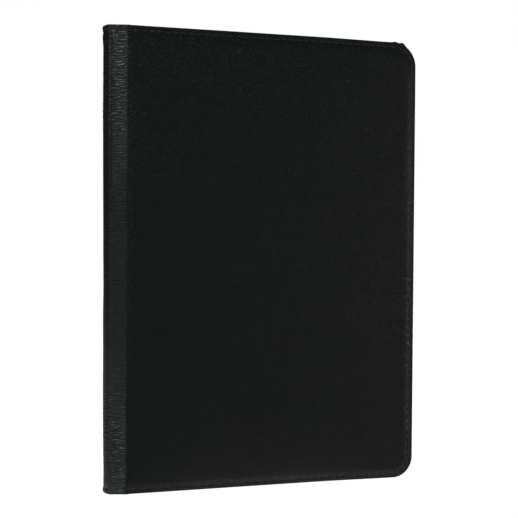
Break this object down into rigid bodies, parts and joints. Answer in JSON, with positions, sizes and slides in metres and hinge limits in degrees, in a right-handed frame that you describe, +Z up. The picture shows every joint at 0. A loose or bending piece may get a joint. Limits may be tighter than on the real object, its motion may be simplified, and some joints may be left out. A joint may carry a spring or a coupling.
{
  "type": "tablet case",
  "caption": "Hinged leather folio case that holds a tablet in a tray with corner grips between padded, stitched covers joined by a spine.",
  "frame": {"origin": "middle of the base of the closed case, on the surface it stands on", "axes": "+Z up along the spine, +X from the spine to the free edge of the covers, +Y from the front cover to the back cover"},
  "size_m": [0.187, 0.018, 0.256],
  "materials": {
    "leather": "black pebble-grained synthetic leather, satin",
    "thread": "bonded polyester sewing thread, black",
    "foam": "thin closed-cell padding",
    "board": "grey binder's board",
    "lining": "brushed microfibre, matt",
    "magnet": "nickel-plated magnet",
    "stiffener": "thin black plastic strip",
    "tray": "moulded black plastic, fine satin texture",
    "grip": "soft moulded polymer, matt",
    "bond": "double-sided adhesive sheet"
  },
  "bodies": {
    "back": {"back_cover_skin": "leather", "back_cover_thread": "thread", "back_cover_foam": "foam", "back_cover_board": "board", "back_cover_lining": "lining", "camera_window_ring": "tray", "tray_bond_sheet": "bond", "tray_shell": "tray", "corner_grip_lower_left": "grip", "corner_grip_lower_right": "grip", "corner_grip_upper_left": "grip", "corner_grip_upper_right": "grip"},
    "spine": {"spine_skin": "leather", "spine_thread_lower": "thread", "spine_thread_upper": "thread", "spine_stiffener": "stiffener", "spine_lining": "lining"},
    "front_cover": {"front_cover_skin": "leather", "front_cover_thread": "thread", "front_cover_foam": "foam", "front_cover_board": "board", "front_cover_lining": "lining", "closing_magnet_lower": "magnet", "closing_magnet_upper": "magnet", "sleep_magnet": "magnet"}
  },
  "joints": [
    {"name": "spine_hinge", "type": "hinge", "parent": "back", "child": "spine", "pos_m": [-0.0854, 0.009, 0.128], "axis": [0, 0, -1], "range_deg": [0, 175]},
    {"name": "cover_hinge", "type": "hinge", "parent": "spine", "child": "front_cover", "pos_m": [-0.0854, -0.009, 0.128], "axis": [0, 0, -1], "range_deg": [0, 175]}
  ]
}
